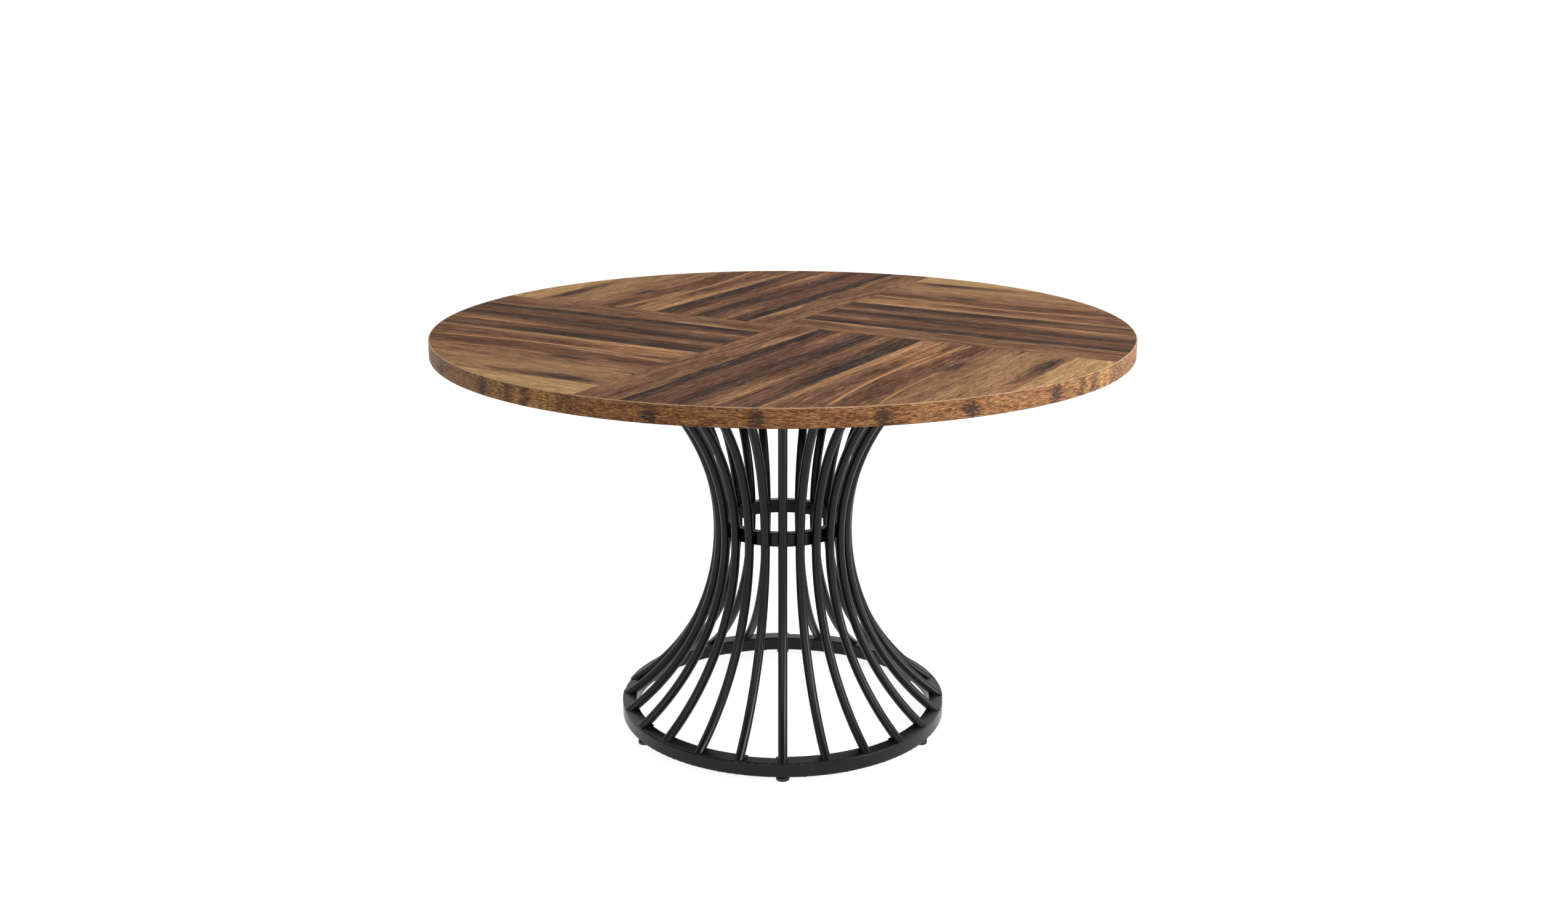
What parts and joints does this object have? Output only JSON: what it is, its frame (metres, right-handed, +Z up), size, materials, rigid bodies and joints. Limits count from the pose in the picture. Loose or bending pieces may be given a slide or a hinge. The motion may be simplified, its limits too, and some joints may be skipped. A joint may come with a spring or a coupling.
{
  "type": "round kitchen table",
  "caption": "Round kitchen table with a laminated plank-print top on an hourglass cage of bent steel tubes, tied by rings and standing on levelling feet.",
  "frame": {"origin": "on the floor under the centre of the top", "axes": "+Z up, square to the top; -Y towards the viewer of the picture"},
  "size_m": [1.2, 1.2, 0.72],
  "materials": {
    "printed_top": "satin printed plank pattern",
    "printed_edge": "satin printed plank pattern",
    "board": "raw fibreboard",
    "backer": "matt brown sheet",
    "frame_black": "satin black powder coat",
    "black_bolts": "black oxide",
    "zinc_steel": "zinc plate",
    "foot_plastic": "moulded black nylon"
  },
  "bodies": {
    "frame": {"tabletop_core": "board", "tabletop_laminate": "printed_top", "tabletop_backer": "backer", "edge_band": "printed_edge", "bottom_ring": "frame_black", "top_ring": "frame_black", "waist_ring": "frame_black", "upper_plates": "frame_black", "upper_panel_bolts": "black_bolts", "lower_panel_bolts": "black_bolts", "waist_screws": "black_bolts", "board_inserts": "zinc_steel", "lower_weld_nuts": "zinc_steel", "waist_rivet_nuts": "zinc_steel", "foot_inserts": "zinc_steel", "leg_tube_01": "frame_black", "leg_tube_02": "frame_black", "leg_tube_03": "frame_black", "leg_tube_04": "frame_black", "leg_tube_05": "frame_black", "leg_tube_06": "frame_black", "leg_tube_07": "frame_black", "leg_tube_08": "frame_black", "leg_tube_09": "frame_black", "leg_tube_10": "frame_black", "leg_tube_11": "frame_black", "leg_tube_12": "frame_black", "leg_tube_13": "frame_black", "leg_tube_14": "frame_black", "leg_tube_15": "frame_black", "leg_tube_16": "frame_black", "leg_tube_17": "frame_black", "leg_tube_18": "frame_black", "leg_tube_19": "frame_black", "leg_tube_20": "frame_black", "leg_tube_21": "frame_black", "leg_tube_22": "frame_black", "leg_tube_23": "frame_black", "leg_tube_24": "frame_black", "lower_plate_1": "frame_black", "lower_plate_2": "frame_black", "lower_plate_3": "frame_black", "lower_plate_4": "frame_black", "lower_plate_5": "frame_black", "lower_plate_6": "frame_black", "lower_plate_7": "frame_black", "lower_plate_8": "frame_black"},
    "foot_pad_1": {"foot_pad_1": "foot_plastic"},
    "foot_stud_1": {"foot_stud_1": "zinc_steel"},
    "foot_pad_2": {"foot_pad_2": "foot_plastic"},
    "foot_stud_2": {"foot_stud_2": "zinc_steel"},
    "foot_pad_3": {"foot_pad_3": "foot_plastic"},
    "foot_stud_3": {"foot_stud_3": "zinc_steel"},
    "foot_pad_4": {"foot_pad_4": "foot_plastic"},
    "foot_stud_4": {"foot_stud_4": "zinc_steel"},
    "foot_pad_5": {"foot_pad_5": "foot_plastic"},
    "foot_stud_5": {"foot_stud_5": "zinc_steel"},
    "foot_pad_6": {"foot_pad_6": "foot_plastic"},
    "foot_stud_6": {"foot_stud_6": "zinc_steel"}
  },
  "joints": [
    {"name": "foot_1_height", "type": "slide", "parent": "frame", "child": "foot_pad_1", "axis": [0, 0, -1], "range_m": [0, 0.01]},
    {"name": "foot_1_turn", "type": "hinge", "parent": "foot_pad_1", "child": "foot_stud_1", "pos_m": [0, -0.28, 0.0078], "axis": [0, 0, -1], "range_deg": [0, 2880]},
    {"name": "foot_2_height", "type": "slide", "parent": "frame", "child": "foot_pad_2", "axis": [0, 0, -1], "range_m": [0, 0.01]},
    {"name": "foot_2_turn", "type": "hinge", "parent": "foot_pad_2", "child": "foot_stud_2", "pos_m": [0.24249, -0.14, 0.0078], "axis": [0, 0, -1], "range_deg": [0, 2880]},
    {"name": "foot_3_height", "type": "slide", "parent": "frame", "child": "foot_pad_3", "axis": [0, 0, -1], "range_m": [0, 0.01]},
    {"name": "foot_3_turn", "type": "hinge", "parent": "foot_pad_3", "child": "foot_stud_3", "pos_m": [0.24249, 0.14, 0.0078], "axis": [0, 0, -1], "range_deg": [0, 2880]},
    {"name": "foot_4_height", "type": "slide", "parent": "frame", "child": "foot_pad_4", "axis": [0, 0, -1], "range_m": [0, 0.01]},
    {"name": "foot_4_turn", "type": "hinge", "parent": "foot_pad_4", "child": "foot_stud_4", "pos_m": [0, 0.28, 0.0078], "axis": [0, 0, -1], "range_deg": [0, 2880]},
    {"name": "foot_5_height", "type": "slide", "parent": "frame", "child": "foot_pad_5", "axis": [0, 0, -1], "range_m": [0, 0.01]},
    {"name": "foot_5_turn", "type": "hinge", "parent": "foot_pad_5", "child": "foot_stud_5", "pos_m": [-0.24249, 0.14, 0.0078], "axis": [0, 0, -1], "range_deg": [0, 2880]},
    {"name": "foot_6_height", "type": "slide", "parent": "frame", "child": "foot_pad_6", "axis": [0, 0, -1], "range_m": [0, 0.01]},
    {"name": "foot_6_turn", "type": "hinge", "parent": "foot_pad_6", "child": "foot_stud_6", "pos_m": [-0.24249, -0.14, 0.0078], "axis": [0, 0, -1], "range_deg": [0, 2880]}
  ],
  "couplings": [
    {"joint": "foot_1_height", "follows": "foot_1_turn", "m_per_rad": 0.00019894},
    {"joint": "foot_2_height", "follows": "foot_2_turn", "m_per_rad": 0.00019894},
    {"joint": "foot_3_height", "follows": "foot_3_turn", "m_per_rad": 0.00019894},
    {"joint": "foot_4_height", "follows": "foot_4_turn", "m_per_rad": 0.00019894},
    {"joint": "foot_5_height", "follows": "foot_5_turn", "m_per_rad": 0.00019894},
    {"joint": "foot_6_height", "follows": "foot_6_turn", "m_per_rad": 0.00019894}
  ]
}
